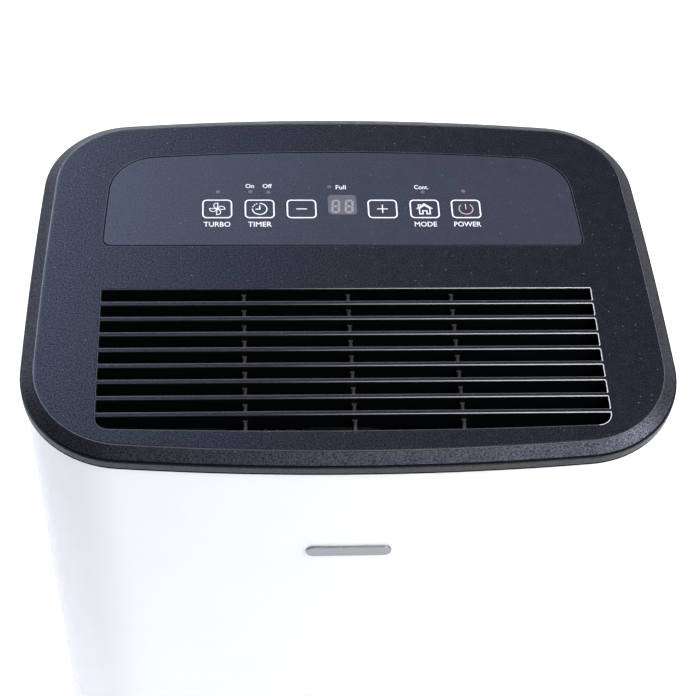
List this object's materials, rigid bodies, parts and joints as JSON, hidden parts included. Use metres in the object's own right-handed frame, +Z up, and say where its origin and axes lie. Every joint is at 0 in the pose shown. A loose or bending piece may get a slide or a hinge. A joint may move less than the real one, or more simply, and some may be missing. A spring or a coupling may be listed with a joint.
{
  "type": "dehumidifier",
  "caption": "Portable compressor dehumidifier with a top control panel and discharge grille, pull-out water bucket, rear intake grille with filter, and swivel casters.",
  "frame": {"origin": "on the floor, under the middle of the casing", "axes": "+Z up; the bucket and the discharge grille are towards -Y; +X is to the right of someone facing the front"},
  "size_m": [0.3494, 0.245, 0.51],
  "materials": {
    "black_plastic": "fine-grained charcoal blue moulding",
    "panel_film": "satin printed film",
    "display_window": "smoked display window",
    "circuit_board": "green solder mask",
    "white_casing": "glossy white moulding",
    "white_plastic": "plain moulding",
    "badge_metal": "satin",
    "grey_plastic": "fine moulding",
    "chassis_plastic": "plain moulding",
    "black_rubber": "dull",
    "steel": "zinc plated",
    "tank_plastic": "pale translucent moulding",
    "smoke_window": "smoked window",
    "float_foam": "closed-cell foam",
    "filter_nylon": "woven nylon mesh",
    "aluminium_fins": "bare fins",
    "compressor_paint": "black paint",
    "copper": "drawn copper tube",
    "fan_nylon": "moulded nylon"
  },
  "bodies": {
    "cabinet": {"top_cover": "black_plastic", "control_overlay": "panel_film", "display_lens": "display_window", "display_board": "circuit_board", "front_cover": "white_casing", "rear_cover": "white_casing", "blank_badge": "badge_metal", "drain_port": "grey_plastic", "cord_gland": "black_rubber", "cover_screw_upper_left": "steel", "cover_screw_upper_right": "steel", "cover_screw_lower_left": "steel", "cover_screw_lower_right": "steel", "base_pan": "chassis_plastic", "divider_frame": "chassis_plastic", "drip_tray": "grey_plastic", "evaporator": "aluminium_fins", "condenser": "aluminium_fins", "compressor": "compressor_paint", "terminal_cover": "black_rubber", "compressor_grommet_1": "black_rubber", "compressor_grommet_2": "black_rubber", "compressor_grommet_3": "black_rubber", "suction_pipe": "copper", "discharge_pipe": "copper", "capillary_tube": "copper", "fan_housing": "chassis_plastic", "motor_plate": "chassis_plastic", "fan_motor": "steel", "electronics_box": "chassis_plastic", "main_board": "circuit_board", "run_capacitor": "steel", "humidity_sensor": "white_plastic", "reed_switch": "black_plastic"},
    "bucket": {"bucket_tank": "tank_plastic", "bucket_front": "white_casing", "level_window": "smoke_window", "bucket_lid": "grey_plastic"},
    "bucket_handle": {"bucket_handle": "grey_plastic"},
    "bucket_float": {"bucket_float": "float_foam"},
    "fan_rotor": {"fan_wheel": "fan_nylon", "motor_shaft": "steel"},
    "intake_panel": {"intake_grille": "white_casing", "filter_frame": "chassis_plastic", "filter_mesh": "filter_nylon"},
    "drain_cap": {"drain_cap": "black_rubber"},
    "button_turbo": {"button_turbo": "panel_film"},
    "button_timer": {"button_timer": "panel_film"},
    "button_minus": {"button_minus": "panel_film"},
    "button_plus": {"button_plus": "panel_film"},
    "button_mode": {"button_mode": "panel_film"},
    "button_power": {"button_power": "panel_film"},
    "caster_front_left": {"caster_fork_front_left": "steel"},
    "caster_front_right": {"caster_fork_front_right": "steel"},
    "caster_rear_left": {"caster_fork_rear_left": "steel"},
    "caster_rear_right": {"caster_fork_rear_right": "steel"},
    "wheel_front_left": {"caster_wheel_front_left": "black_rubber"},
    "wheel_front_right": {"caster_wheel_front_right": "black_rubber"},
    "wheel_rear_left": {"caster_wheel_rear_left": "black_rubber"},
    "wheel_rear_right": {"caster_wheel_rear_right": "black_rubber"}
  },
  "joints": [
    {"name": "bucket_slide", "type": "slide", "parent": "cabinet", "child": "bucket", "axis": [0, -1, 0], "range_m": [0, 0.13]},
    {"name": "bucket_handle_swing", "type": "hinge", "parent": "bucket", "child": "bucket_handle", "pos_m": [0, -0.064, 0.133], "axis": [1, 0, 0], "range_deg": [0, 90]},
    {"name": "bucket_float_lift", "type": "hinge", "parent": "bucket", "child": "bucket_float", "pos_m": [-0.1, -0.034, 0.116], "axis": [-1, 0, 0], "range_deg": [0, 15]},
    {"name": "fan_spin", "type": "hinge", "parent": "cabinet", "child": "fan_rotor", "pos_m": [0, -0.054, 0.34], "axis": [0, 1, 0], "continuous": true},
    {"name": "intake_panel_tilt", "type": "hinge", "parent": "cabinet", "child": "intake_panel", "pos_m": [0, 0.1208, 0.2406], "axis": [-1, 0, 0], "range_deg": [0, 30]},
    {"name": "drain_cap_pull", "type": "slide", "parent": "cabinet", "child": "drain_cap", "axis": [0, 1, 0], "range_m": [0, 0.02]},
    {"name": "button_turbo_press", "type": "slide", "parent": "cabinet", "child": "button_turbo", "axis": [0, 0, -1], "range_m": [0, 0.0008], "stiffness_N_per_m": 2000, "springref_m": -0.0002},
    {"name": "button_timer_press", "type": "slide", "parent": "cabinet", "child": "button_timer", "axis": [0, 0, -1], "range_m": [0, 0.0008], "stiffness_N_per_m": 2000, "springref_m": -0.0002},
    {"name": "button_minus_press", "type": "slide", "parent": "cabinet", "child": "button_minus", "axis": [0, 0, -1], "range_m": [0, 0.0008], "stiffness_N_per_m": 2000, "springref_m": -0.0002},
    {"name": "button_plus_press", "type": "slide", "parent": "cabinet", "child": "button_plus", "axis": [0, 0, -1], "range_m": [0, 0.0008], "stiffness_N_per_m": 2000, "springref_m": -0.0002},
    {"name": "button_mode_press", "type": "slide", "parent": "cabinet", "child": "button_mode", "axis": [0, 0, -1], "range_m": [0, 0.0008], "stiffness_N_per_m": 2000, "springref_m": -0.0002},
    {"name": "button_power_press", "type": "slide", "parent": "cabinet", "child": "button_power", "axis": [0, 0, -1], "range_m": [0, 0.0008], "stiffness_N_per_m": 2000, "springref_m": -0.0002},
    {"name": "swivel_front_left", "type": "hinge", "parent": "cabinet", "child": "caster_front_left", "pos_m": [-0.126, -0.074, 0.034], "axis": [0, 0, 1], "continuous": true},
    {"name": "roll_front_left", "type": "hinge", "parent": "caster_front_left", "child": "wheel_front_left", "pos_m": [-0.126, -0.067, 0.012], "axis": [1, 0, 0], "continuous": true},
    {"name": "swivel_front_right", "type": "hinge", "parent": "cabinet", "child": "caster_front_right", "pos_m": [0.126, -0.074, 0.034], "axis": [0, 0, 1], "continuous": true},
    {"name": "roll_front_right", "type": "hinge", "parent": "caster_front_right", "child": "wheel_front_right", "pos_m": [0.126, -0.067, 0.012], "axis": [1, 0, 0], "continuous": true},
    {"name": "swivel_rear_left", "type": "hinge", "parent": "cabinet", "child": "caster_rear_left", "pos_m": [-0.124, 0.068, 0.034], "axis": [0, 0, 1], "continuous": true},
    {"name": "roll_rear_left", "type": "hinge", "parent": "caster_rear_left", "child": "wheel_rear_left", "pos_m": [-0.124, 0.075, 0.012], "axis": [1, 0, 0], "continuous": true},
    {"name": "swivel_rear_right", "type": "hinge", "parent": "cabinet", "child": "caster_rear_right", "pos_m": [0.124, 0.068, 0.034], "axis": [0, 0, 1], "continuous": true},
    {"name": "roll_rear_right", "type": "hinge", "parent": "caster_rear_right", "child": "wheel_rear_right", "pos_m": [0.124, 0.075, 0.012], "axis": [1, 0, 0], "continuous": true}
  ]
}
